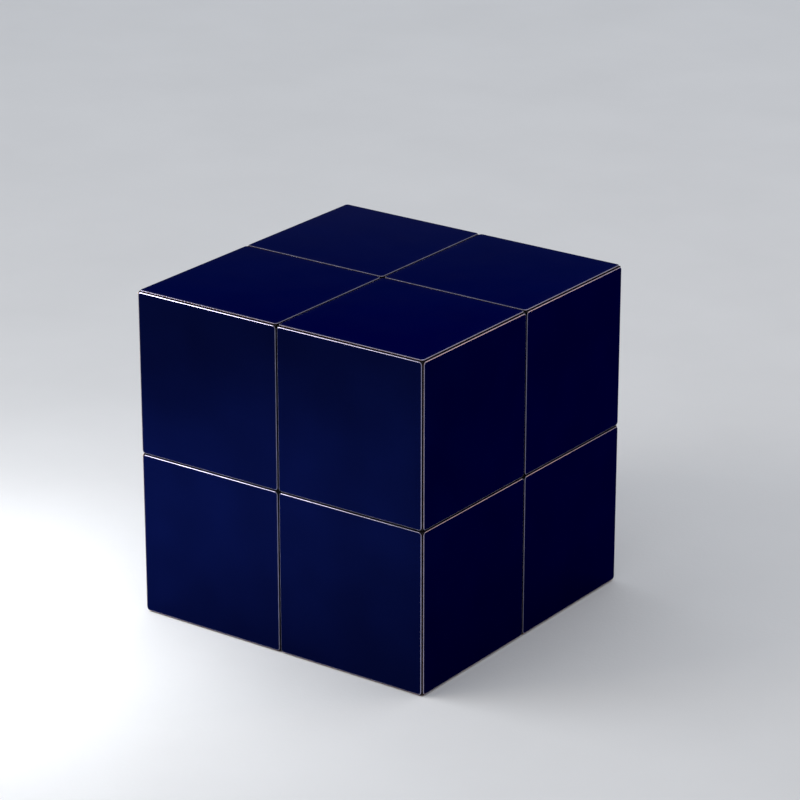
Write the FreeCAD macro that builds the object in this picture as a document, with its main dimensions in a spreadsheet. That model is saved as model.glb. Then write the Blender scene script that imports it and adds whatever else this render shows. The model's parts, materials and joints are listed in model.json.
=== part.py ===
"""Mirror block cube: a 2 x 2 x 2 twisty puzzle with mirror tiles on eight equal blocks.

Millimetres, +Z up.  The origin is the middle of the underside, and every piece is drawn about
the middle of the cube, half its size higher.  +X is right, +Y is back.

From outside in, the puzzle is made of nested zones about its middle, with a running clearance
between them:

    blocks   eight hollow corner shells, parted by the seams that cross the middle
    flanges  a spherical layer, cut into a 3 x 3 x 3 pattern at plus and minus layer_cut
    feet     a spherical layer below it, cut nearer the middle, at plus and minus foot_cut
    core     a ball with a boss and a sprung screw on each of the six axes

The feet of each piece hook under the flanges of the next, so the caps hold the edges and the
edges hold the corners.  Every face between two layers is a plane across an axis or part of a
sphere about the middle, so a layer turns without meeting its neighbour.
"""
import FreeCAD, Part
import os
import re

import Sketcher
from FreeCAD import Placement, Rotation, Vector

doc = FreeCAD.newDocument("mirror_block_cube")

# ---------------------------------------------------------------- driving dimensions

DIMENSIONS = {
    "cube_size": 50.0,           # over the faces of the tiles
    "seam_gap": 0.24,            # between two neighbouring blocks
    "tile_thickness": 0.50,      # mirror tile
    "tile_inset": 0.015,         # from the seam face of a block to the side of its tile
    "tile_bevel": 0.07,          # bright bevel round the front of a tile
    "tile_land": 0.02,           # square stretch of a tile's side, behind the bevel
    "tile_corner": 0.40,         # corner radius of a tile's front face
    "edge_rib": 0.14,            # from a cube edge to either side of the rib that runs along it
    "rib_drop": 0.22,            # from the face of a tile down to the top of a rib
    "tile_play": 0.02,           # between a tile and a rib
    "shell_wall": 1.60,          # wall of a corner shell
    "hollow_height": 2.70,       # free space between a shell's outer wall and its dome
    "dome_wall": 1.40,           # spherical wall that closes a corner shell
    "flange_thickness": 3.00,    # flange layer, measured from the middle outwards
    "foot_thickness": 6.50,      # foot layer
    "layer_cut": 6.00,           # where the flange layer is cut, from the middle
    "foot_cut": 4.00,            # where the foot layer is cut, from the middle
    "clearance": 0.20,           # between pieces that slide past each other
    "boss_height": 0.30,         # how far a core boss stands above the foot layer's floor
    "screw_diameter": 2.50,
    "screw_tip": 3.00,           # from the middle of the core to the tip of a screw
    "screw_taper": 1.20,         # length of the pointed end
    "screw_point": 0.60,         # diameter of the blunt tip
    "screw_play": 0.05,          # round the shank where it passes through a cap
    "thread_play": 0.01,         # round the shank in the core
    "head_diameter": 4.40,
    "head_height": 1.50,
    "head_recess": 1.00,         # from the top of a cap down to the screw head
    "drive_width": 0.55,         # cross recess in a screw head
    "drive_length": 2.60,
    "drive_depth": 0.80,
    "washer_diameter": 4.80,
    "washer_thickness": 0.40,
    "spring_diameter": 4.60,     # over the wire
    "spring_wire": 0.50,
    "spring_length": 3.60,
    "spring_pitch": 0.90,
    "spring_seat": 0.04,         # at each end of a spring
    "bore_play": 0.15,           # round a washer in the bore of a cap
}

sheet = doc.addObject("Spreadsheet::Sheet", "Dims")
for row, (alias, value) in enumerate(DIMENSIONS.items(), start=1):
    sheet.set(f"A{row}", alias.replace("_", " "))
    sheet.set(f"B{row}", str(value))
    sheet.setAlias(f"B{row}", alias)
doc.recompute()


def dims(formula):
    """A formula in the plain names above, with each name pointed at its cell."""
    return re.sub(r"[a-z_]+", lambda word: f"Dims.{word.group()}", formula)


# ---------------------------------------------------------------- places worked out from them
# Distances from the middle of the cube, unless a comment says otherwise.

HALF = "(cube_size / 2)"
SEAM_FACE = "(seam_gap / 2)"
SHELL_FACE = f"({HALF} - tile_thickness)"
HOLLOW_LOW = f"({SEAM_FACE} + shell_wall)"
HOLLOW_HIGH = f"({SHELL_FACE} - shell_wall)"

CAVITY = f"({HOLLOW_HIGH} - hollow_height - dome_wall)"      # radius
DOME_TOP = f"({CAVITY} + dome_wall)"                         # radius
FLANGE_TOP = f"({CAVITY} - clearance)"                       # radius
FLANGE_UNDER = f"({CAVITY} - flange_thickness)"              # radius
FOOT_TOP = f"({FLANGE_UNDER} - clearance)"                   # radius
FOOT_UNDER = f"({FLANGE_UNDER} - foot_thickness)"            # radius
CORE_BALL = f"({FOOT_UNDER} - clearance)"                    # radius

LAYER_OUT = "(layer_cut + clearance / 2)"      # flange face of a piece beyond the cut
LAYER_IN = "(layer_cut - clearance / 2)"       # flange face of a piece inside the cut
FOOT_OUT = "(foot_cut + clearance / 2)"
FOOT_IN = "(foot_cut - clearance / 2)"

BOSS_TOP = f"({FOOT_UNDER} + boss_height)"
STEM_BOTTOM = f"({BOSS_TOP} + clearance)"
HEAD_TOP = f"({FLANGE_TOP} - head_recess)"
HEAD_SEAT = f"({HEAD_TOP} - head_height)"
WASHER_SEAT = f"({HEAD_SEAT} - washer_thickness)"
SPRING_BOTTOM = f"({WASHER_SEAT} - spring_seat - spring_length)"
BORE_FLOOR = f"({SPRING_BOTTOM} - spring_seat)"
SCREW_RADIUS = "(screw_diameter / 2)"

BEYOND = "(cube_size)"                         # far enough out to clear every piece

TILE_LOW = f"({SEAM_FACE} + tile_inset)"
TILE_HIGH = f"({HALF} - tile_bevel - tile_land - edge_rib - tile_play)"
TILE_SLOPE = "(tile_thickness - tile_bevel - tile_land)"      # height of the sloped side behind
RIB_TOP = f"({HALF} - rib_drop)"


# ---------------------------------------------------------------- small helpers

SAME_HEIGHT = 1e-6     # millimetres

def bind(obj, **sizes):
    """Tie properties of an object to formulas.  A double underscore stands for a dot."""
    for path, formula in sizes.items():
        obj.setExpression(path.replace("__", "."), dims(formula))
    return obj


def block(name, x, y, z):
    """A box between two formulas along each axis."""
    box = doc.addObject("Part::Box", name)
    spans = {"x": ("Length", x), "y": ("Width", y), "z": ("Height", z)}
    for axis, (side, (low, high)) in spans.items():
        bind(box, **{side: f"({high}) - ({low})", f"Placement__Base__{axis}": low})
    return box


def ball(name, radius):
    return bind(doc.addObject("Part::Sphere", name), Radius=radius)


def rod(name, radius, bottom, top):
    """A cylinder along Z."""
    cylinder = doc.addObject("Part::Cylinder", name)
    return bind(cylinder, Radius=radius, Height=f"({top}) - ({bottom})", Placement__Base__z=bottom)


def cut(name, base, tool):
    result = doc.addObject("Part::Cut", name)
    result.Base, result.Tool = base, tool
    return result


def common(name, base, tool):
    result = doc.addObject("Part::Common", name)
    result.Base, result.Tool = base, tool
    return result


def fuse(name, *shapes):
    result = doc.addObject("Part::MultiFuse", name)
    result.Shapes = list(shapes)
    return result


def group(name, *shapes):
    """Identical separate solids that share one sub-part."""
    result = doc.addObject("Part::Compound", name)
    result.Links = list(shapes)
    return result


def zone(name, under, top, region):
    """The part of a spherical layer that lies inside a box."""
    layer = cut(f"{name}_layer", ball(f"{name}_top", top), ball(f"{name}_under", under))
    return common(name, layer, region)


def own_plane(body, role):
    return next(plane for plane in body.Origin.OriginFeatures if plane.Role == role)


def new_sketch(body, name, role):
    """A sketch on one of the body's own planes."""
    sketch = body.newObject("Sketcher::SketchObject", name)
    sketch.AttachmentSupport = [(own_plane(body, role), "")]
    sketch.MapMode = "FlatFace"
    return sketch


def hold(sketch, kind, formula, *ends):
    """A dimension between two points of a sketch, tied to a formula."""
    index = sketch.addConstraint(Sketcher.Constraint(kind, *ends, 1.0))
    bind(sketch, **{f"Constraints[{index}]": formula})


def draw_square(sketch, low, high):
    """A square with two opposite corners at (low, low) and (high, high)."""
    corners = [Vector(1, 1, 0), Vector(2, 1, 0), Vector(2, 2, 0), Vector(1, 2, 0)]
    for i, kind in enumerate(("Horizontal", "Vertical", "Horizontal", "Vertical")):
        sketch.addGeometry(Part.LineSegment(corners[i], corners[(i + 1) % 4]), False)
        sketch.addConstraint(Sketcher.Constraint(kind, i))
    for i in range(4):
        sketch.addConstraint(Sketcher.Constraint("Coincident", i, 2, (i + 1) % 4, 1))
    for kind in ("DistanceX", "DistanceY"):
        hold(sketch, kind, low, -1, 1, 0, 1)
        hold(sketch, kind, high, -1, 1, 2, 1)


def draw_circle(sketch, across, up, radius):
    """A circle whose centre is held to the sketch's origin."""
    sketch.addGeometry(Part.Circle(Vector(1, 1, 0), Vector(0, 0, 1), 0.5), False)
    hold(sketch, "DistanceX", across, -1, 1, 0, 3)
    hold(sketch, "DistanceY", up, -1, 1, 0, 3)
    index = sketch.addConstraint(Sketcher.Constraint("Radius", 0, 1.0))
    bind(sketch, **{f"Constraints[{index}]": radius})


def edges_where(feature, test):
    """Names of the edges of a feature whose heights, at their two ends, pass the test."""
    return [
        f"Edge{i}"
        for i, edge in enumerate(feature.Shape.Edges, start=1)
        if test(*[vertex.Z for vertex in edge.Vertexes])
    ]


def level_at(height):
    """A test for edges that lie flat at one height."""
    return lambda *ends: all(abs(end - height) < SAME_HEIGHT for end in ends)


def upright(low, high):
    """True for an edge that climbs."""
    return abs(high - low) > SAME_HEIGHT


# ---------------------------------------------------------------- the pieces
# Each is drawn for the right, back, upper corner, or for the upward axis, and then turned.


def flared_block(name, low, high, turn):
    """A block on the shell's face that spreads at 45 degrees, on all four sides, as it rises."""
    wedge = doc.addObject("Part::Wedge", name)
    spread = f"({BEYOND} - {SHELL_FACE})"
    bind(wedge, Ymin=SHELL_FACE, Ymax=BEYOND)
    for axis in "XZ":
        bind(wedge, **{f"{axis}min": low, f"{axis}2min": f"{low} - {spread}"})
        bind(wedge, **{f"{axis}max": high, f"{axis}2max": f"{high} + {spread}"})
    wedge.Placement = Placement(Vector(), turn.multiply(STAND_UP))
    return wedge


def corner_shell(name):
    """Hollow plastic block, open to the middle through the cavity sphere.

    A narrow rib along each outer edge parts the tiles that meet there.
    """
    outside = (SEAM_FACE, RIB_TOP)
    inside = (HOLLOW_LOW, HOLLOW_HIGH)
    outer = block(f"{name}_outer", outside, outside, outside)
    pockets = [
        flared_block(f"{name}_pocket_{number}", "0", f"({SHELL_FACE} - edge_rib)", turn)
        for number, turn in enumerate(FACE_TURNS, start=1)
    ]
    inner = block(f"{name}_inner", inside, inside, inside)
    cavity = ball(f"{name}_cavity", CAVITY)
    return cut(f"{name}_open", outer, fuse(f"{name}_voids", *pockets, inner, cavity))


def corner_foot(name):
    """Dome that closes a shell, and the neck and foot that hold the corner in."""
    inside = (HOLLOW_LOW, HOLLOW_HIGH)
    beyond_layer = (LAYER_OUT, HALF)
    beyond_foot = (FOOT_OUT, HALF)
    dome = zone(f"{name}_dome", CAVITY, DOME_TOP, block(f"{name}_seat", inside, inside, inside))
    neck = zone(
        f"{name}_neck",
        FOOT_UNDER,
        f"{CAVITY} + dome_wall / 2",
        block(f"{name}_neck_box", beyond_layer, beyond_layer, beyond_layer),
    )
    foot = zone(
        f"{name}_hook",
        FOOT_UNDER,
        FOOT_TOP,
        block(f"{name}_hook_box", beyond_foot, beyond_foot, beyond_foot),
    )
    return fuse(f"{name}_whole", dome, neck, foot)


def inner_edge(name):
    """Hidden edge piece: a flange between two necks, and a foot between two stems."""
    flange_beyond, foot_beyond = (LAYER_OUT, HALF), (FOOT_OUT, HALF)
    flange_width, foot_width = (f"-{LAYER_IN}", LAYER_IN), (f"-{FOOT_IN}", FOOT_IN)
    flange = zone(
        f"{name}_flange",
        FLANGE_UNDER,
        FLANGE_TOP,
        block(f"{name}_flange_box", flange_width, flange_beyond, flange_beyond),
    )
    foot = zone(
        f"{name}_hook",
        FOOT_UNDER,
        FOOT_TOP,
        block(f"{name}_hook_box", foot_width, foot_beyond, foot_beyond),
    )
    web = zone(
        f"{name}_web",
        FOOT_UNDER,
        FLANGE_TOP,
        block(f"{name}_web_box", foot_width, flange_beyond, flange_beyond),
    )
    return fuse(f"{name}_whole", flange, foot, web)


def centre_cap(name):
    """Square cap on a round stem, bored for the screw, its washer and its spring."""
    width = (f"-{LAYER_IN}", LAYER_IN)
    flange = zone(
        f"{name}_flange",
        FLANGE_UNDER,
        FLANGE_TOP,
        block(f"{name}_flange_box", width, width, (LAYER_OUT, HALF)),
    )
    stem = rod(f"{name}_stem", FOOT_IN, STEM_BOTTOM, HEAD_SEAT)
    bore = rod(f"{name}_bore", "washer_diameter / 2 + bore_play", BORE_FLOOR, HALF)
    hole = rod(f"{name}_hole", f"{SCREW_RADIUS} + screw_play", "0", HALF)
    solid = fuse(f"{name}_solid", flange, stem)
    return cut(f"{name}_bored", solid, fuse(f"{name}_voids", bore, hole))


def mirror_tile(name):
    """Thin mirror tile, bevelled bright in front and sloped behind to clear the ribs."""
    body = doc.addObject("PartDesign::Body", f"{name}_body")
    sketch = new_sketch(body, f"{name}_outline", "XY_Plane")
    bind(sketch, AttachmentOffset__Base__z=SHELL_FACE)
    draw_square(sketch, TILE_LOW, TILE_HIGH)

    plate = body.newObject("PartDesign::Pad", f"{name}_plate")
    plate.Profile = sketch
    bind(plate, Length="tile_thickness")
    doc.recompute()
    front = plate.Shape.BoundBox.ZMax

    corners = body.newObject("PartDesign::Fillet", f"{name}_corners")
    corners.Base = (plate, edges_where(plate, upright))
    bind(corners, Radius="tile_corner + tile_bevel")
    doc.recompute()

    bevel = body.newObject("PartDesign::Chamfer", f"{name}_bevel")
    bevel.Base = (corners, edges_where(corners, level_at(front)))
    bind(bevel, Size="tile_bevel")

    back = (f"({TILE_LOW} + {TILE_SLOPE})", f"({TILE_HIGH} - {TILE_SLOPE})")
    return common(f"{name}_sloped", body, flared_block(f"{name}_slopes", *back, UPRIGHT))


def core():
    """Ball with a boss and a screw hole on each axis."""
    bosses = []
    holes = []
    for word, turn in AXIS_TURNS.items():
        boss = rod(f"core_boss_{word}", FOOT_IN, "0", BOSS_TOP)
        hole = rod(f"core_hole_{word}", f"{SCREW_RADIUS} + thread_play", "screw_tip", HALF)
        for part, parts in ((boss, bosses), (hole, holes)):
            parts.append(group(f"{part.Name}_turned", part))
            parts[-1].Placement = Placement(Vector(), turn)
    solid = fuse("core_solid", ball("core_ball", CORE_BALL), *bosses)
    return cut("core_drilled", solid, fuse("core_holes", *holes))


def centre_screw(name):
    """Pan-head screw with a cross recess and a pointed end."""
    shank = rod(f"{name}_shank", SCREW_RADIUS, "screw_tip + screw_taper", HEAD_SEAT)
    point = doc.addObject("Part::Cone", f"{name}_point")
    bind(
        point,
        Radius1="screw_point / 2",
        Radius2=SCREW_RADIUS,
        Height="screw_taper",
        Placement__Base__z="screw_tip",
    )
    head = rod(f"{name}_head", "head_diameter / 2", HEAD_SEAT, HEAD_TOP)
    across = ("-drive_width / 2", "drive_width / 2")
    along = ("-drive_length / 2", "drive_length / 2")
    depth = (f"{HEAD_TOP} - drive_depth", f"{HEAD_TOP} + drive_depth")
    recess = fuse(
        f"{name}_drive",
        block(f"{name}_slot_x", along, across, depth),
        block(f"{name}_slot_y", across, along, depth),
    )
    return cut(f"{name}_whole", fuse(f"{name}_blank", shank, point, head), recess)


def centre_washer(name):
    """Plain washer between a screw head and its spring."""
    disc = rod(f"{name}_disc", "washer_diameter / 2", WASHER_SEAT, HEAD_SEAT)
    hole = rod(f"{name}_hole", f"{SCREW_RADIUS} + screw_play", "0", HALF)
    return cut(f"{name}_whole", disc, hole)


def centre_spring(name):
    """Coil spring round a screw, between the washer and the floor of the cap."""
    body = doc.addObject("PartDesign::Body", f"{name}_body")
    sketch = new_sketch(body, f"{name}_wire", "XZ_Plane")
    draw_circle(
        sketch,
        "(spring_diameter - spring_wire) / 2",
        f"{SPRING_BOTTOM} + spring_wire / 2",
        "spring_wire / 2",
    )
    doc.recompute()
    coil = body.newObject("PartDesign::AdditiveHelix", f"{name}_coil")
    coil.Profile = sketch
    coil.ReferenceAxis = (sketch, ["V_Axis"])
    coil.Mode = "pitch-height-angle"
    bind(coil, Pitch="spring_pitch", Height="spring_length - spring_wire")
    return body


# ---------------------------------------------------------------- where the copies go

SIDES = {
    "up": Vector(0, 0, 1),
    "down": Vector(0, 0, -1),
    "front": Vector(0, -1, 0),
    "back": Vector(0, 1, 0),
    "left": Vector(-1, 0, 0),
    "right": Vector(1, 0, 0),
}
QUARTERS = [Rotation(Vector(0, 0, 1), 90 * k) for k in range(4)]
UPRIGHT = Rotation()
UPSIDE_DOWN = Rotation(Vector(1, 0, 0), 180)
TIPPED_RIGHT = Rotation(Vector(0, 1, 0), 90)
FACE_TURNS = [Rotation(Vector(1, 1, 1), 120 * k) for k in range(3)]
STAND_UP = FACE_TURNS[1]     # takes +Y to +Z

AXIS_TURNS = {word: Rotation(Vector(0, 0, 1), direction) for word, direction in SIDES.items()}
AXIS_TURNS["down"] = UPSIDE_DOWN


def sides_of(direction):
    """The words for a direction, upright word first, such as up_front_left."""
    return [word for word, side in SIDES.items() if direction.dot(side) > 0.5]


finished = []


def finish(shape, label, turn=UPRIGHT):
    """Name a sub-part, turn it to its place and raise it to the middle of the cube."""
    shape.Label = label
    shape.Placement = Placement(Vector(), turn)
    bind(shape, Placement__Base__z=HALF)
    finished.append(shape)


for end in (UPRIGHT, UPSIDE_DOWN):
    for quarter in QUARTERS:
        turn = quarter.multiply(end)
        corner_sides = sides_of(turn.multVec(Vector(1, 1, 1)))
        corner = "_".join(corner_sides)
        finish(corner_shell(f"shell_{corner}"), f"corner_shell_{corner}", turn)
        finish(corner_foot(f"foot_{corner}"), f"corner_foot_{corner}", turn)
        for face_turn in FACE_TURNS:
            tile_turn = turn.multiply(face_turn)
            face = sides_of(tile_turn.multVec(Vector(0, 0, 1)))[0]
            others = [side for side in corner_sides if side != face]
            tile = "_".join([face, *others])
            finish(mirror_tile(f"tile_{tile}"), f"mirror_tile_{tile}", tile_turn)

        edge = "_".join(sides_of(turn.multVec(Vector(0, 1, 1))))
        finish(inner_edge(f"edge_{edge}"), f"inner_edge_{edge}", turn)

middle_edges = []
for quarter in QUARTERS:
    turn = quarter.multiply(TIPPED_RIGHT)
    edge = "_".join(sides_of(turn.multVec(Vector(0, 1, 1))))
    middle_edges.append(inner_edge(f"edge_{edge}"))
    middle_edges[-1].Placement = Placement(Vector(), turn)
finish(group("edges_middle", *middle_edges), "inner_edges_middle")

finish(core(), "core")


def on_each_axis(make):
    """One piece for each of the six axes, turned to it, by the side it faces."""
    made = {side: make(f"{make.__name__}_{side}") for side in AXIS_TURNS}
    for side, piece in made.items():
        piece.Placement = Placement(Vector(), AXIS_TURNS[side])
    return made


for make in (centre_screw, centre_washer):
    pieces = on_each_axis(make)
    finish(group(f"{make.__name__}s_all", *pieces.values()), f"{make.__name__}s")

for make in (centre_cap, centre_spring):
    pieces = on_each_axis(make)
    for end in ("up", "down"):
        finish(pieces.pop(end), f"{make.__name__}_{end}", AXIS_TURNS[end])
    finish(group(f"{make.__name__}s_level", *pieces.values()), f"{make.__name__}s_middle")

# ---------------------------------------------------------------- check and write

doc.recompute()
for obj in doc.Objects:
    if "Invalid" in obj.State or "Error" in obj.State:
        raise RuntimeError(f"{obj.Name} failed: {obj.State}")
for piece in finished:
    if piece.Shape.isNull() or not piece.Shape.isValid():
        raise RuntimeError(f"{piece.Label} has no valid shape")

os.makedirs("parts", exist_ok=True)
for piece in finished:
    piece.Shape.exportStep(os.path.join("parts", f"{piece.Label}.step"))
    print(f"{piece.Label}: {len(piece.Shape.Solids)} solid(s), {piece.Shape.Volume:.1f} mm3")
print(f"{len(finished)} sub-parts")
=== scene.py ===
"""Finish, stage and camera for the mirror block cube, laid out as a Blender add-on."""
import json
import math

import bmesh
import bpy
from bpy.props import FloatProperty, FloatVectorProperty, IntProperty, PointerProperty
from bpy.types import Operator, Panel, PropertyGroup
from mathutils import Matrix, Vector


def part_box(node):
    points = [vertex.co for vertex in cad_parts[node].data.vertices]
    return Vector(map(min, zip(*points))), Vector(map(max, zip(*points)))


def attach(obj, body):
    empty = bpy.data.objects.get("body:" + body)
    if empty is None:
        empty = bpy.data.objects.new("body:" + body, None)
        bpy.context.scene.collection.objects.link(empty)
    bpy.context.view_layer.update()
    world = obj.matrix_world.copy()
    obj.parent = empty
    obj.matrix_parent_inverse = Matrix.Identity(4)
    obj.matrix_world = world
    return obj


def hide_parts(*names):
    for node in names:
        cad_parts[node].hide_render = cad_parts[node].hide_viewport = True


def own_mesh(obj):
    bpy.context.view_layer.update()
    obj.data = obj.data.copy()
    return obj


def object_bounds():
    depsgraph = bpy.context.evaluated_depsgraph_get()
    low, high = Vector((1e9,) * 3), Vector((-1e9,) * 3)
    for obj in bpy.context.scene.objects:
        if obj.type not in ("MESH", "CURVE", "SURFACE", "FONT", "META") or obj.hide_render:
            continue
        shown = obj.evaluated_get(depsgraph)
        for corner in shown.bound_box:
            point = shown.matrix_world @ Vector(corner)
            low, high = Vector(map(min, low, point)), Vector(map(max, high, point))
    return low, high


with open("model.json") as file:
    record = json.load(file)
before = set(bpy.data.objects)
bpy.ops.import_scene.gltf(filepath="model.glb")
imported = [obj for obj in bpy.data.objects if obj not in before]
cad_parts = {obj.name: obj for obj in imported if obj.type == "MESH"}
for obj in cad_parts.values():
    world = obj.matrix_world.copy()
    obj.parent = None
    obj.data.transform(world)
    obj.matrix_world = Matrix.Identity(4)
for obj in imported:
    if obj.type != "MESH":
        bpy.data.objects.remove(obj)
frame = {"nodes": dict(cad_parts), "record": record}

CAD_BOX = [list(corner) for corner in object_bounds()]

bl_info = {
    "name": "Mirror Block Cube",
    "version": (1, 0, 0),
    "blender": (4, 5, 0),
    "location": "3D View > Sidebar > Mirror Cube",
    "description": "Mirror tiles, block shells, mechanism and stage for a mirror block cube",
    "category": "Object",
}

MM = 0.001
CUBE_LOW, CUBE_HIGH = (Vector(corner) for corner in CAD_BOX)
CUBE_MIDDLE = (CUBE_LOW + CUBE_HIGH) / 2
CUBE_SIZE = (CUBE_HIGH - CUBE_LOW).x


# ---------------------------------------------------------------- colours


def srgb(code):
    """Linear RGB of a hex colour such as #0a0f32."""
    values = [int(code[i : i + 2], 16) / 255 for i in (1, 3, 5)]
    return [v / 12.92 if v <= 0.04045 else ((v + 0.055) / 1.055) ** 2.4 for v in values]


def rgba(colour):
    """A colour with full alpha, for a shader socket."""
    return (*colour, 1.0)


def scaled(colour, share):
    """A lighter or darker version of a linear colour."""
    return [value * share for value in colour]


# ---------------------------------------------------------------- properties


class TileSettings(PropertyGroup):
    """Sizes and colours of the mirror tiles."""

    bevel: FloatProperty(
        name="Bevel",
        description="Width of the bright polished bevel round a tile, across its face",
        default=0.09 * MM,
        unit="LENGTH",
        precision=5,
    )
    bevel_depth: FloatProperty(
        name="Bevel depth",
        description="How far the bevel drops from the face, which sets its angle",
        default=0.05 * MM,
        unit="LENGTH",
        precision=5,
    )
    land: FloatProperty(
        name="Land",
        description="Square stretch of a tile's side behind the bevel",
        default=0.02 * MM,
        unit="LENGTH",
        precision=5,
    )
    corner: FloatProperty(
        name="Corner radius",
        description="Corner radius of a tile's front face",
        default=0.40 * MM,
        unit="LENGTH",
        precision=5,
    )
    rim: FloatProperty(
        name="Handling rim",
        description="Width of the strip inside the bevel that fingers have rubbed duller",
        default=1.2 * MM,
        unit="LENGTH",
        precision=5,
    )
    arc_steps: IntProperty(
        name="Corner steps",
        description="Straight steps in each rounded corner",
        default=8,
        min=2,
        max=32,
    )
    face_colour: FloatVectorProperty(
        name="Mirror colour",
        description="Dark blue of the metallised mirror",
        subtype="COLOR",
        size=3,
        default=srgb("#040a31"),
    )
    face_edge_colour: FloatVectorProperty(
        name="Grazing colour",
        description="Tint that the mirror takes at a low angle",
        subtype="COLOR",
        size=3,
        default=srgb("#b1b2c8"),
    )
    bevel_colour: FloatVectorProperty(
        name="Bevel colour",
        description="Silver of the polished cut edge",
        subtype="COLOR",
        size=3,
        default=srgb("#a3a1bd"),
    )
    # painted glint: this warm amber stands in for the warm light caught in the seams
    side_glint_colour: FloatVectorProperty(
        name="Side colour",
        description="Warm tone of the tile's side, where the edge of the film shows",
        subtype="COLOR",
        size=3,
        default=srgb("#bc9070"),
    )


class BodySettings(PropertyGroup):
    """Sizes and colours of the plastic and steel pieces."""

    edge_round: FloatProperty(
        name="Edge rounding",
        description="Radius on the edges of the moulded pieces",
        default=0.08 * MM,
        unit="LENGTH",
        precision=5,
    )
    shell_colour: FloatVectorProperty(
        name="Shell colour",
        description="Black of the moulded block shells",
        subtype="COLOR",
        size=3,
        default=srgb("#060609"),
    )
    mechanism_colour: FloatVectorProperty(
        name="Mechanism colour",
        description="Black of the feet, inner edges and caps",
        subtype="COLOR",
        size=3,
        default=srgb("#17181b"),
    )
    core_colour: FloatVectorProperty(
        name="Core colour",
        description="Off-white of the core",
        subtype="COLOR",
        size=3,
        default=srgb("#d9d7cc"),
    )


class StageSettings(PropertyGroup):
    """Floor, light and camera."""

    floor_colour: FloatVectorProperty(
        name="Floor colour",
        description="Pale grey of the floor and the backdrop",
        subtype="COLOR",
        size=3,
        default=srgb("#d5d7da"),
    )
    key_power: FloatProperty(
        name="Key light",
        description="Power of the large soft light high on the left",
        default=0.28,
        unit="POWER",
    )
    low_power: FloatProperty(
        name="Low light",
        description="Power of the small light near the floor on the left",
        default=0.06,
        unit="POWER",
    )
    glint_power: FloatProperty(
        name="Glints",
        description="Power of the small warm light that the bevels on the front mirror",
        default=0.46,
        unit="POWER",
    )
    amber_power: FloatProperty(
        name="Amber glints",
        description="Power of the small amber light that the bevels on the right mirror",
        default=0.16,
        unit="POWER",
    )
    top_power: FloatProperty(
        name="Top light",
        description="Power of the soft light overhead",
        default=1.05,
        unit="POWER",
    )
    fill: FloatProperty(
        name="Fill",
        description="Strength of the even light from all round",
        default=0.68,
        min=0.0,
        max=5.0,
    )
    azimuth: FloatProperty(
        name="Camera azimuth",
        description="Turn of the camera round the cube, from the front towards the right",
        default=math.radians(35.78),
        subtype="ANGLE",
    )
    elevation: FloatProperty(
        name="Camera elevation",
        description="Height of the camera above the horizon",
        default=math.radians(20.96),
        subtype="ANGLE",
    )
    distance: FloatProperty(
        name="Camera distance",
        description="From the camera to the middle of the cube",
        default=CUBE_SIZE * 10.028,
        unit="LENGTH",
    )
    lens: FloatProperty(
        name="Focal length",
        description="Focal length of the camera on a 36 mm sensor",
        default=154.2,
        unit="CAMERA",
    )


# ---------------------------------------------------------------- shader helpers


def add_node(tree, kind, links=None, **settings):
    """Adds a shader node. Settings are its properties or, by name, its input sockets.

    Links give an input socket's name and the output socket that feeds it."""
    node = tree.nodes.new(kind)
    for name, value in settings.items():
        if hasattr(node, name):
            setattr(node, name, value)
        else:
            node.inputs[name.replace("_", " ")].default_value = value
    for name, output in (links or {}).items():
        tree.links.new(output, node.inputs[name])
    return node


def new_material(name):
    """An empty node material with its output, as (material, tree, output)."""
    material = bpy.data.materials.new(name)
    material.use_nodes = True
    tree = material.node_tree
    tree.nodes.clear()
    return material, tree, tree.nodes.new("ShaderNodeOutputMaterial")


def finish_surface(tree, output, surface):
    """Joins a shader to the material's output."""
    tree.links.new(surface.outputs["BSDF"], output.inputs["Surface"])


def noise_between(tree, coordinates, size, low, high, detail=3.0, stretch=(1.0, 1.0, 1.0)):
    """A value that wanders between low and high over patches about size metres across."""
    mapping = add_node(tree, "ShaderNodeMapping", {"Vector": coordinates}, Scale=stretch)
    noise = add_node(
        tree,
        "ShaderNodeTexNoise",
        {"Vector": mapping.outputs["Vector"]},
        Scale=1.0 / size,
        Detail=detail,
        Roughness=0.55,
    )
    spread = add_node(
        tree,
        "ShaderNodeMapRange",
        {"Value": noise.outputs["Fac"]},
        From_Min=0.3,
        From_Max=0.7,
        To_Min=low,
        To_Max=high,
    )
    return spread.outputs["Result"]


def object_coordinates(tree):
    """Coordinates fixed to the piece, in metres."""
    return add_node(tree, "ShaderNodeTexCoord").outputs["Object"]


def bump_from(tree, height, strength, distance, normal=None):
    """Tilts the surface by a height pattern that is distance metres deep."""
    links = {"Height": height}
    if normal:
        links["Normal"] = normal
    bump = add_node(tree, "ShaderNodeBump", links, Strength=strength, Distance=distance)
    return bump.outputs["Normal"]


def multiply_add(tree, value, share, added, use_clamp=False):
    """Value times share, plus added. Use_clamp keeps the result from 0 to 1."""
    node = add_node(
        tree, "ShaderNodeMath", operation="MULTIPLY_ADD", use_clamp=use_clamp
    )
    tree.links.new(value, node.inputs[0])
    node.inputs[1].default_value = share
    tree.links.new(added, node.inputs[2])
    return node.outputs["Value"]


def vertex_value(tree, name):
    """A value stored on the points of the mesh."""
    return add_node(tree, "ShaderNodeAttribute", attribute_name=name).outputs["Fac"]


def mix_colour(tree, factor, first, second):
    """Blends two colours by a factor from 0 to 1."""
    mix = add_node(tree, "ShaderNodeMix", data_type="RGBA")
    tree.links.new(factor, mix.inputs["Factor"])
    mix.inputs["A"].default_value = rgba(first)
    mix.inputs["B"].default_value = rgba(second)
    return mix.outputs["Result"]


# ---------------------------------------------------------------- materials


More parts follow.
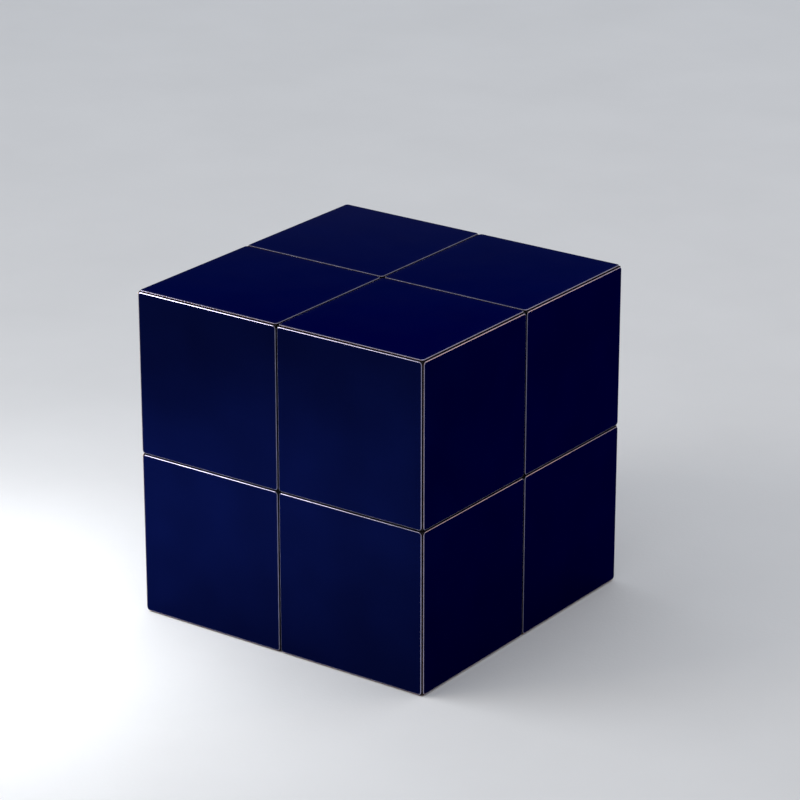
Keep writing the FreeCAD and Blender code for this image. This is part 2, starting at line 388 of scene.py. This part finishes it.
def metallised_acrylic_mirror(settings):
    """Dark blue vacuum-metallised acrylic: a deep mirror that only shows as gradients of navy."""
    material, tree, output = new_material("acrylic_vacuum_metallised_navy")
    place = object_coordinates(tree)

    # the coating is a little thicker in places, so the navy drifts over about a third of a tile
    drift = noise_between(tree, place, 9 * MM, 0.0, 1.0, detail=1.0)
    thin_coating = scaled(settings.face_colour, 1.22)
    colour = mix_colour(tree, drift, settings.face_colour, thin_coating)

    # faint finger haze in patches of a few millimetres, and a duller strip along the edges
    haze = noise_between(tree, place, 5 * MM, 0.05, 0.11, detail=4.0)
    rim_roughness = 0.10
    worn = multiply_add(tree, vertex_value(tree, "rim"), rim_roughness, haze)

    # pressed sheet is never quite flat: swells about 7 mm across bend the reflections
    swell = noise_between(tree, place, 7 * MM, 0.0, 1.0, detail=0.0)
    waves = bump_from(tree, swell, strength=0.18, distance=0.02 * MM)
    # wiping leaves hairlines a third of a millimetre apart, long and thin across the tile
    hairlines = noise_between(
        tree, place, 0.35 * MM, 0.0, 1.0, detail=2.0, stretch=(0.04, 0.05, 1.0)
    )
    scratched = bump_from(tree, hairlines, strength=0.03, distance=0.004 * MM, normal=waves)
    surface = add_node(
        tree,
        "ShaderNodeBsdfPrincipled",
        {
            "Base Color": colour,
            "Roughness": worn,
            "Normal": scratched,
        },
        Metallic=1.0,
        Specular_Tint=rgba(settings.face_edge_colour),
    )
    finish_surface(tree, output, surface)
    return material


def polished_cut_edge(settings):
    """Diamond-cut bevel: bright silver with a lilac cast, so every tile is drawn in a thin line."""
    material, tree, output = new_material("acrylic_bevel_diamond_cut_silver")
    place = object_coordinates(tree)
    # tiny nicks and rubbed spots break the line every millimetre or two
    nicks = noise_between(tree, place, 1.1 * MM, 0.10, 0.26, detail=5.0)
    spots = noise_between(tree, place, 1.6 * MM, 0.0, 0.30)

    # the bevels along the seams are painted darker, as painted shade between the blocks, on top of
    # the random rubbed spots
    seam_shade_share = 0.45
    rubbed = multiply_add(
        tree, vertex_value(tree, "seam"), seam_shade_share, spots, use_clamp=True
    )
    dull = scaled(settings.bevel_colour, 0.22)
    surface = add_node(
        tree,
        "ShaderNodeBsdfPrincipled",
        {
            # painted shade: the seam bevels take the darker colour, mixed with the random spots
            "Base Color": mix_colour(tree, rubbed, settings.bevel_colour, dull),
            "Roughness": nicks,
        },
        Metallic=1.0,
    )
    finish_surface(tree, output, surface)
    return material


def tile_side_painted_glint(settings):
    """Side of the tile behind the bevel: its warm amber is a painted glint, standing in for the
    warm light in the seams.
    """
    material, tree, output = new_material("acrylic_side_amber_painted_glint")
    place = object_coordinates(tree)
    # the saw leaves bands half a millimetre wide, so the painted glint is broken along its length
    darker = scaled(settings.side_glint_colour, 0.55)
    bands = noise_between(tree, place, 0.5 * MM, 0.0, 1.0, stretch=(1.0, 1.0, 0.2))
    surface = add_node(
        tree,
        "ShaderNodeBsdfPrincipled",
        {
            "Base Color": mix_colour(tree, bands, settings.side_glint_colour, darker),
            "Roughness": noise_between(tree, place, 0.8 * MM, 0.18, 0.40),
        },
        Metallic=0.85,
    )
    finish_surface(tree, output, surface)
    return material


def moulded_plastic(name, colour, roughness, grain, wear_colour, ior=1.53, shine=0.5):
    """Injection-moulded plastic: spark-eroded grain, slow sheen changes and rubbed edges.

    Shine is how strongly it reflects head on: 0.5 is clean plastic, and less looks matt."""
    material, tree, output = new_material(name)
    place = object_coordinates(tree)
    # the grain of the mould breaks up the highlights
    grain_height = noise_between(tree, place, grain, 0.0, 1.0, detail=2.0)
    grained = bump_from(tree, grain_height, strength=0.35, distance=0.01 * MM)
    # edges that rub against the next piece go pale and smooth
    rounded = add_node(tree, "ShaderNodeNewGeometry").outputs["Pointiness"]
    edge = add_node(
        tree,
        "ShaderNodeMapRange",
        {"Value": rounded},
        From_Min=0.53,
        From_Max=0.62,
        To_Min=0.0,
        To_Max=0.6,
    )
    sheen = noise_between(tree, place, 6 * MM, roughness * 0.85, roughness * 1.15)
    surface = add_node(
        tree,
        "ShaderNodeBsdfPrincipled",
        {
            "Base Color": mix_colour(tree, edge.outputs["Result"], colour, wear_colour),
            "Roughness": sheen,
            "Normal": grained,
        },
        IOR=ior,
        Specular_IOR_Level=shine,
    )
    finish_surface(tree, output, surface)
    return material


def worked_steel(name, code, low_roughness, high_roughness, lines):
    """Steel with fine working marks lines metres apart, run round the piece."""
    material, tree, output = new_material(name)
    place = object_coordinates(tree)
    marks = noise_between(tree, place, lines, 0.0, 1.0, detail=2.0, stretch=(0.15, 0.15, 1.0))
    marked = bump_from(tree, marks, strength=0.25, distance=0.004 * MM)
    # oil and handling darken it in spots a millimetre or two across
    colour = srgb(code)
    stained = scaled(colour, 0.7)
    spots = noise_between(tree, place, 1.5 * MM, 0.0, 1.0)
    surface = add_node(
        tree,
        "ShaderNodeBsdfPrincipled",
        {
            "Base Color": mix_colour(tree, spots, colour, stained),
            "Roughness": noise_between(tree, place, 1 * MM, low_roughness, high_roughness),
            "Normal": marked,
        },
        Metallic=1.0,
    )
    finish_surface(tree, output, surface)
    return material


def studio_sheet(settings):
    """Matt paper sweep under the cube, with a faint mottle."""
    material, tree, output = new_material("paper_sweep_matt")
    place = object_coordinates(tree)
    mottle = noise_between(tree, place, 30 * MM, 0.0, 1.0, detail=4.0)
    darker = scaled(settings.floor_colour, 0.96)
    tooth = noise_between(tree, place, 0.6 * MM, 0.0, 1.0, detail=2.0)
    toothed = bump_from(tree, tooth, strength=0.15, distance=0.05 * MM)
    surface = add_node(
        tree,
        "ShaderNodeBsdfPrincipled",
        {
            "Base Color": mix_colour(tree, mottle, settings.floor_colour, darker),
            "Normal": toothed,
        },
        Roughness=0.75,
    )
    finish_surface(tree, output, surface)
    return material


# ---------------------------------------------------------------- mesh helpers


def rounded_square(half, radius, steps):
    """Points of a square with rounded corners, anticlockwise, as (u, v) pairs."""
    points = []
    for quarter in range(4):
        turn = quarter * math.pi / 2
        centre = Vector((half - radius, half - radius))
        for step in range(steps + 1):
            angle = math.pi / 2 * step / steps
            reach = Vector((math.cos(angle), math.sin(angle))) * radius
            u, v = centre + reach
            points.append((
                u * math.cos(turn) - v * math.sin(turn),
                u * math.sin(turn) + v * math.cos(turn),
            ))
    return points


def outward_frame(low, high):
    """Middle of a tile's outer face, and its u, v and outward directions."""
    middle = (low + high) / 2
    span = high - low
    axis = min(range(3), key=lambda i: span[i])
    outward = Vector((0, 0, 0))
    outward[axis] = 1.0 if middle[axis] > CUBE_MIDDLE[axis] else -1.0
    across = Vector((0, 0, 0))
    across[(axis + 1) % 3] = 1.0
    face_middle = middle.copy()
    face_middle[axis] = high[axis] if outward[axis] > 0 else low[axis]
    return face_middle, across, outward.cross(across), outward


SIDE_STRIPS = 2       # strips of a tile behind its bevel: the slope and the land
BEVEL_STEPS = 4       # strips across the bevel
BEVEL_CROWN = 0.08    # bulge of the bevel, as a share of its depth
BEVEL_FINISH, SIDE_FINISH = 1, 2      # places in a tile's list of materials
RIM_HALF_WAY = 0.4    # share of the handling rim over which its wear has halved
SMALLEST_RADIUS = 0.02 * MM           # least corner radius of a ring
SEAM_REACH = 0.5 * MM                 # points of a tile this near the middle planes are on a seam


def tile_profile(settings, thickness):
    """Rings from the back of a tile to the edge of its face, as (inset, depth, rim) values.

    Depth is measured in from the face, and rim is 1 at the bevel and 0 inside."""
    side_depth = settings.bevel_depth + settings.land
    rings = [(thickness - side_depth, thickness, 1.0), (0.0, side_depth, 1.0)]
    for step in range(BEVEL_STEPS + 1):
        # a bevel very slightly crowned, so that some of it always catches the light
        share = step / BEVEL_STEPS
        crown = BEVEL_CROWN * settings.bevel_depth * math.sin(math.pi * share)
        inset = settings.bevel * share - crown
        rings.append((inset, settings.bevel_depth * (1 - share) - crown, 1.0))
    rings.append((settings.bevel + settings.rim * RIM_HALF_WAY, 0.0, 0.5))
    rings.append((settings.bevel + settings.rim, 0.0, 0.0))
    return rings


def beside_seam(point, outward):
    """1 for a point of a tile on the side that slides past the next block, else 0. The bevels there
    get painted shade.
    """
    from_middle = point - CUBE_MIDDLE
    across = [abs(from_middle[i]) for i in range(3) if outward[i] == 0]
    return 1.0 if min(across) < SEAM_REACH else 0.0


def build_tile(name, low, high, settings):
    """Mirror tile with a relieved back, a narrow land, a bright bevel and a flat face."""
    face_middle, u_way, v_way, outward = outward_frame(low, high)
    span = sorted(high - low)
    thickness, half = span[0], span[2] / 2
    side_radius = settings.corner + settings.bevel

    mesh_build = bmesh.new()
    rim_layer = mesh_build.verts.layers.float.new("rim")
    seam_layer = mesh_build.verts.layers.float.new("seam")
    rings = []
    for inset, depth, rim in tile_profile(settings, thickness):
        radius = max(side_radius - inset, SMALLEST_RADIUS)
        ring = []
        for u, v in rounded_square(half - inset, radius, settings.arc_steps):
            vertex = mesh_build.verts.new(face_middle + u_way * u + v_way * v - outward * depth)
            vertex[rim_layer] = rim
            vertex[seam_layer] = beside_seam(vertex.co, outward)
            ring.append(vertex)
        rings.append(ring)

    count = len(rings[0])
    for index, (outer, inner) in enumerate(zip(rings, rings[1:])):
        on_bevel = SIDE_STRIPS <= index < SIDE_STRIPS + BEVEL_STEPS
        for i in range(count):
            j = (i + 1) % count
            face = mesh_build.faces.new((outer[i], outer[j], inner[j], inner[i]))
            if on_bevel:
                face.material_index = BEVEL_FINISH
            elif index < SIDE_STRIPS:
                face.material_index = SIDE_FINISH
            face.smooth = on_bevel
    mesh_build.faces.new(rings[-1])
    back = mesh_build.faces.new(list(reversed(rings[0])))
    back.material_index = SIDE_FINISH

    mesh = bpy.data.meshes.new(name)
    mesh_build.normal_update()
    mesh_build.to_mesh(mesh)
    mesh_build.free()
    piece = bpy.data.objects.new(name, mesh)
    bpy.context.scene.collection.objects.link(piece)
    return piece


SHARP_EDGE = math.radians(40)         # edges that turn more than this are rounded


def dress(node_name, material, edge_round=0.0):
    """Gives a CAD piece its finish, and rounds its sharp edges where a width is stated."""
    piece = frame["nodes"][node_name]
    piece.data.materials.clear()
    piece.data.materials.append(material)
    if edge_round:
        rounding = piece.modifiers.new("Moulded edge", "BEVEL")
        rounding.width = edge_round
        rounding.segments = 2
        rounding.limit_method = "ANGLE"
        rounding.angle_limit = SHARP_EDGE


def nodes_named(*starts):
    """Names of the CAD pieces that begin with any of these words, in order."""
    return sorted(name for name in frame["nodes"] if name.startswith(starts))


def body_named(node_name):
    """The moving body that a CAD piece belongs to."""
    bodies = frame["record"]["behaviour"]["bodies"]
    return next(body for body, names in bodies.items() if node_name in names)


def joint_pressing(node_name):
    """The joint that shortens a CAD piece as it moves, or None."""
    for joint in frame["record"]["behaviour"]["joints"]:
        if any(row["node"] == node_name for row in joint.get("deforming_nodes", ())):
            return joint
    return None


def build_live_spring(node_name):
    """A copy of a spring, with its own mesh, fixed to the body that the spring belongs to."""
    source = frame["nodes"][node_name]
    name = node_name.replace("centre_spring", "spring")
    spring = bpy.data.objects.new(name, source.data.copy())
    spring.matrix_world = source.matrix_world
    bpy.context.scene.collection.objects.link(spring)
    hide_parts(node_name)
    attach(spring, body_named(node_name))
    # the cap's end of a spring is the one nearer to the core
    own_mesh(spring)


# ---------------------------------------------------------------- operators


class MIRRORCUBE_OT_tiles(Operator):
    """Build the mirror tiles on the faces of the blocks"""

    bl_idname = "mirrorcube.tiles"
    bl_label = "Mirror tiles"

    def execute(self, context):
        settings = context.scene.mirror_cube_tiles
        finishes = (
            metallised_acrylic_mirror(settings),
            polished_cut_edge(settings),
            tile_side_painted_glint(settings),
        )
        for node_name in nodes_named("mirror_tile"):
            low, high = (Vector(corner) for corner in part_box(node_name))
            tile = build_tile(node_name.replace("mirror_tile", "tile"), low, high, settings)
            for finish in finishes:
                tile.data.materials.append(finish)
            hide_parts(node_name)
            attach(tile, body_named(node_name))
        return {"FINISHED"}


class MIRRORCUBE_OT_shells(Operator):
    """Finish the moulded block shells"""

    bl_idname = "mirrorcube.shells"
    bl_label = "Block shells"

    def execute(self, context):
        settings = context.scene.mirror_cube_bodies
        black_abs = moulded_plastic(
            "abs_moulded_black",
            settings.shell_colour,
            roughness=0.62,
            grain=0.25 * MM,
            wear_colour=srgb("#101116"),
            shine=0.12,
        )
        for node_name in nodes_named("corner_shell"):
            dress(node_name, black_abs, settings.edge_round)
        return {"FINISHED"}


class MIRRORCUBE_OT_mechanism(Operator):
    """Finish the corner feet, inner edges, caps and core"""

    bl_idname = "mirrorcube.mechanism"
    bl_label = "Mechanism"

    def execute(self, context):
        settings = context.scene.mirror_cube_bodies
        acetal = moulded_plastic(
            "acetal_moulded_black",
            settings.mechanism_colour,
            roughness=0.28,
            grain=0.5 * MM,
            wear_colour=srgb("#4a4c52"),
            ior=1.48,
        )
        nylon = moulded_plastic(
            "nylon_moulded_natural",
            settings.core_colour,
            roughness=0.38,
            grain=0.4 * MM,
            wear_colour=srgb("#f0eee4"),
            ior=1.53,
        )
        for node_name in nodes_named("corner_foot", "inner_edge", "centre_cap"):
            dress(node_name, acetal, settings.edge_round)
        dress("core", nylon, settings.edge_round)
        return {"FINISHED"}


class MIRRORCUBE_OT_hardware(Operator):
    """Finish the screws, washers and springs"""

    bl_idname = "mirrorcube.hardware"
    bl_label = "Screws, washers and springs"

    def execute(self, context):
        zinc = worked_steel("steel_zinc_plated_turned", "#b9bcc2", 0.22, 0.38, 0.12 * MM)
        stamped = worked_steel("steel_stamped_deburred", "#a9a9a6", 0.30, 0.48, 0.30 * MM)
        wire = worked_steel("spring_steel_cold_drawn", "#8f9196", 0.20, 0.34, 0.08 * MM)
        dress("centre_screws", zinc)
        dress("centre_washers", stamped)
        for node_name in nodes_named("centre_spring"):
            dress(node_name, wire)
            joint = joint_pressing(node_name)
            if joint:
                build_live_spring(node_name)
        return {"FINISHED"}


def area_light(name, place, size, power, colour=(1.0, 1.0, 1.0), aim=CUBE_MIDDLE):
    """A square soft light, which faces the middle of the cube unless it is aimed elsewhere."""
    lamp = bpy.data.lights.new(name, "AREA")
    lamp.size = size
    lamp.energy = power
    lamp.color = colour
    holder = bpy.data.objects.new(name, lamp)
    holder.location = place
    holder.rotation_euler = (aim - place).to_track_quat("-Z", "Y").to_euler()
    bpy.context.scene.collection.objects.link(holder)


# where the lamps stand, in metres from the middle of the underside, and their widths
KEY_PLACE, KEY_SIZE = Vector((-0.20, -0.40, 0.45)), 0.24
LOW_PLACE, LOW_SIZE = Vector((-0.055, -0.055, 0.055)), 0.05
LOW_AIM = Vector((-0.038, -0.046, 0.0))
TOP_PLACE, TOP_SIZE = Vector((0.10, 0.20, 0.80)), 0.6
GLINT_DISTANCE, GLINT_SIZE = 0.45, 0.15

KEY_COLOUR = (1.0, 0.95, 0.88)
GLINT_COLOUR = (1.0, 0.90, 0.78)
AMBER_COLOUR = (1.0, 0.52, 0.22)
ROOM_COLOUR = (0.92, 0.95, 1.0)

FLOOR_RADIUS = 3.0
FLOOR_STEPS = 96
FLOOR_DROP = 0.02 * MM                # keeps the floor clear of the underside
SENSOR_WIDTH = 36.0                   # in millimetres, as the focal length is
NEAR_CLIP = 0.01

# where the camera looks, from the middle of the cube, in cube sizes
ASIDE = 0.0510
ABOVE = 0.1135


def camera_axes(settings):
    """Directions from the cube to the camera, and to the right and the top of the picture."""
    azimuth, elevation = settings.azimuth, settings.elevation
    back = Vector((
        math.sin(azimuth) * math.cos(elevation),
        -math.cos(azimuth) * math.cos(elevation),
        math.sin(elevation),
    ))
    right = Vector((math.cos(azimuth), math.sin(azimuth), 0))
    return back, right, back.cross(right)


def camera_place(settings):
    """The camera looks past the middle of the cube, a little to the right of it and above."""
    back, right, up = camera_axes(settings)
    aside = right * (CUBE_SIZE * ASIDE) + up * (CUBE_SIZE * ABOVE)
    return CUBE_MIDDLE + back * settings.distance + aside


def glint_light(name, settings, point, outward, bevel, power, colour):
    """A small light where the upper bevels on one side mirror it to the camera.

    Point is where the glint is strongest, and outward is the way that side of the cube faces."""
    facing = (outward * bevel.bevel + Vector((0, 0, 1)) * bevel.bevel_depth).normalized()
    towards = (camera_place(settings) - point).normalized()
    mirrored = facing * (2 * towards.dot(facing)) - towards
    area_light(name, point + mirrored * GLINT_DISTANCE, GLINT_SIZE, power, colour)


class MIRRORCUBE_OT_stage(Operator):
    """Set the floor, the lights and the camera"""

    bl_idname = "mirrorcube.stage"
    bl_label = "Stage, lights and camera"

    def execute(self, context):
        settings = context.scene.mirror_cube_stage
        self.lay_floor(settings)
        self.set_lights(settings)
        self.place_camera(settings)
        context.scene.view_settings.view_transform = "Standard"
        return {"FINISHED"}

    def lay_floor(self, settings):
        """A wide disc under the cube."""
        sweep = bmesh.new()
        bmesh.ops.create_circle(sweep, cap_ends=True, segments=FLOOR_STEPS, radius=FLOOR_RADIUS)
        mesh = bpy.data.meshes.new("floor")
        sweep.to_mesh(mesh)
        sweep.free()
        floor = bpy.data.objects.new("floor", mesh)
        floor.location = (0, 0, CUBE_LOW.z - FLOOR_DROP)
        mesh.materials.append(studio_sheet(settings))
        bpy.context.scene.collection.objects.link(floor)

    def set_lights(self, settings):
        """Even light all round, three soft lamps and two small ones for the glints."""
        world = bpy.data.worlds.new("soft_room")
        world.use_nodes = True
        background = world.node_tree.nodes["Background"]
        background.inputs["Color"].default_value = rgba(ROOM_COLOUR)
        background.inputs["Strength"].default_value = settings.fill
        bpy.context.scene.world = world
        area_light("key", KEY_PLACE, KEY_SIZE, settings.key_power, KEY_COLOUR)
        area_light("low_left", LOW_PLACE, LOW_SIZE, settings.low_power, aim=LOW_AIM)
        area_light("overhead", TOP_PLACE, TOP_SIZE, settings.top_power)

        bevel = bpy.context.scene.mirror_cube_tiles
        half = CUBE_SIZE / 2
        left_end = CUBE_MIDDLE + Vector((-half, -half, -half / 2))
        front_end = CUBE_MIDDLE + Vector((half, -half, -half))
        glint_light(
            "glint_front", settings, left_end, Vector((0, -1, 0)), bevel,
            settings.glint_power, GLINT_COLOUR,
        )
        glint_light(
            "glint_right", settings, front_end, Vector((1, 0, 0)), bevel,
            settings.amber_power, AMBER_COLOUR,
        )

    def place_camera(self, settings):
        """The camera, turned square to the direction it stands in."""
        camera_data = bpy.data.cameras.new("camera")
        camera_data.sensor_width = SENSOR_WIDTH
        camera_data.lens = settings.lens
        camera_data.clip_start = NEAR_CLIP
        camera = bpy.data.objects.new("camera", camera_data)
        camera.location = camera_place(settings)
        back = camera_axes(settings)[0]
        camera.rotation_euler = back.to_track_quat("Z", "Y").to_euler()
        bpy.context.scene.collection.objects.link(camera)
        bpy.context.scene.camera = camera


STEPS = (
    MIRRORCUBE_OT_tiles,
    MIRRORCUBE_OT_shells,
    MIRRORCUBE_OT_mechanism,
    MIRRORCUBE_OT_hardware,
    MIRRORCUBE_OT_stage,
)


class MIRRORCUBE_PT_sidebar(Panel):
    """Lists the settings and the steps that build the cube"""

    bl_idname = "MIRRORCUBE_PT_sidebar"
    bl_label = "Mirror block cube"
    bl_space_type = "VIEW_3D"
    bl_region_type = "UI"
    bl_category = "Mirror Cube"

    def draw(self, context):
        layout = self.layout
        for group_name in ("mirror_cube_tiles", "mirror_cube_bodies", "mirror_cube_stage"):
            settings = getattr(context.scene, group_name)
            box = layout.box()
            for setting in settings.__annotations__:
                box.prop(settings, setting)
        for step in STEPS:
            layout.operator(step.bl_idname)


GROUPS = {
    "mirror_cube_tiles": TileSettings,
    "mirror_cube_bodies": BodySettings,
    "mirror_cube_stage": StageSettings,
}


def register():
    for settings in (*GROUPS.values(), *STEPS, MIRRORCUBE_PT_sidebar):
        bpy.utils.register_class(settings)
    for name, group in GROUPS.items():
        setattr(bpy.types.Scene, name, PointerProperty(type=group))


def unregister():
    for name in GROUPS:
        delattr(bpy.types.Scene, name)
    for settings in reversed((*GROUPS.values(), *STEPS, MIRRORCUBE_PT_sidebar)):
        bpy.utils.unregister_class(settings)


def main():
    """Runs every step in order."""
    register()
    for step in STEPS:
        family, operation = step.bl_idname.split(".")
        getattr(getattr(bpy.ops, family), operation)()


if __name__ == "__main__":
    main()
